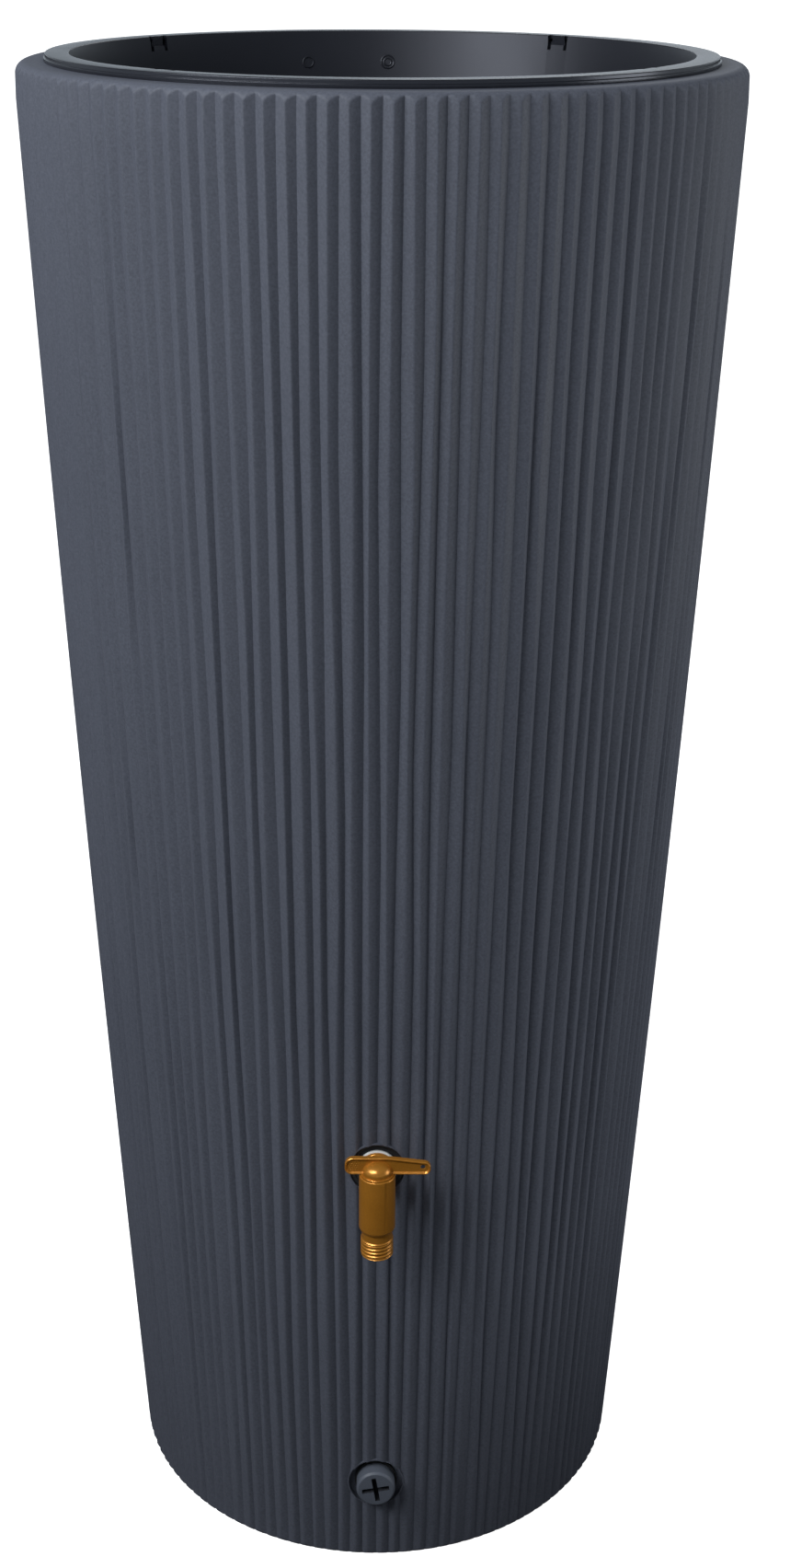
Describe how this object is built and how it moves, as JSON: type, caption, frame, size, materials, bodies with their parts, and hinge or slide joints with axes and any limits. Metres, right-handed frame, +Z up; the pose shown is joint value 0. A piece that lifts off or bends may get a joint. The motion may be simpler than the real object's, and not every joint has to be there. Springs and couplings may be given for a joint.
{
  "type": "rain barrel",
  "caption": "Tall tapered rain barrel with vertical flutes, a lift-out planter bowl in its mouth, a lever tap and a screw-in drain plug.",
  "frame": {"origin": "centre of the flat base, on the surface that the barrel stands on", "axes": "+Z up along the barrel's axis, -Y out of the side that has the tap and the drain plug, +X to the right seen from that side"},
  "size_m": [0.6008, 0.6006, 1.28],
  "materials": {
    "tank_plastic": "matt moulded polyethylene, slate blue-grey",
    "bowl_plastic": "satin moulded plastic, near black",
    "tap_brass": "metallic brass-coloured plastic, satin",
    "rotor_plastic": "smooth black acetal",
    "seal_rubber": "matt black rubber",
    "white_plastic": "white nylon",
    "nut_plastic": "black moulded nylon",
    "plug_plastic": "matt moulded plastic, a little lighter than the tank",
    "insert_brass": "turned brass",
    "spring_steel": "spring steel"
  },
  "bodies": {
    "tank": {"tank_shell": "tank_plastic", "tap_body": "tap_brass", "tap_outer_gasket": "seal_rubber", "tap_spacer_washer": "white_plastic", "tap_inner_gasket": "seal_rubber", "tap_lock_nut": "nut_plastic", "tap_retaining_ring": "spring_steel", "drain_insert": "insert_brass"},
    "planter": {"planter_bowl": "bowl_plastic"},
    "tap_rotor": {"tap_handle": "tap_brass", "tap_plug": "rotor_plastic", "tap_lower_oring": "seal_rubber", "tap_upper_oring": "seal_rubber"},
    "plug_carrier": {"drain_plug_seal": "seal_rubber"},
    "plug": {"drain_plug": "plug_plastic"}
  },
  "joints": [
    {"name": "planter_lift", "type": "slide", "parent": "tank", "child": "planter", "axis": [0, 0, 1], "range_m": [0, 0.3]},
    {"name": "tap_turn", "type": "hinge", "parent": "tank", "child": "tap_rotor", "pos_m": [0, -0.285, 0.396], "axis": [0, 0, 1], "range_deg": [-90, 0]},
    {"name": "plug_out", "type": "slide", "parent": "tank", "child": "plug_carrier", "axis": [0, -1, 0], "range_m": [0, 0.0137]},
    {"name": "plug_turn", "type": "hinge", "parent": "plug_carrier", "child": "plug", "pos_m": [0, -0.2187, 0.078], "axis": [0, -1, 0], "range_deg": [0, 2700]}
  ],
  "couplings": [
    {"joint": "plug_out", "follows": "plug_turn", "m_per_rad": 0.00028871}
  ]
}
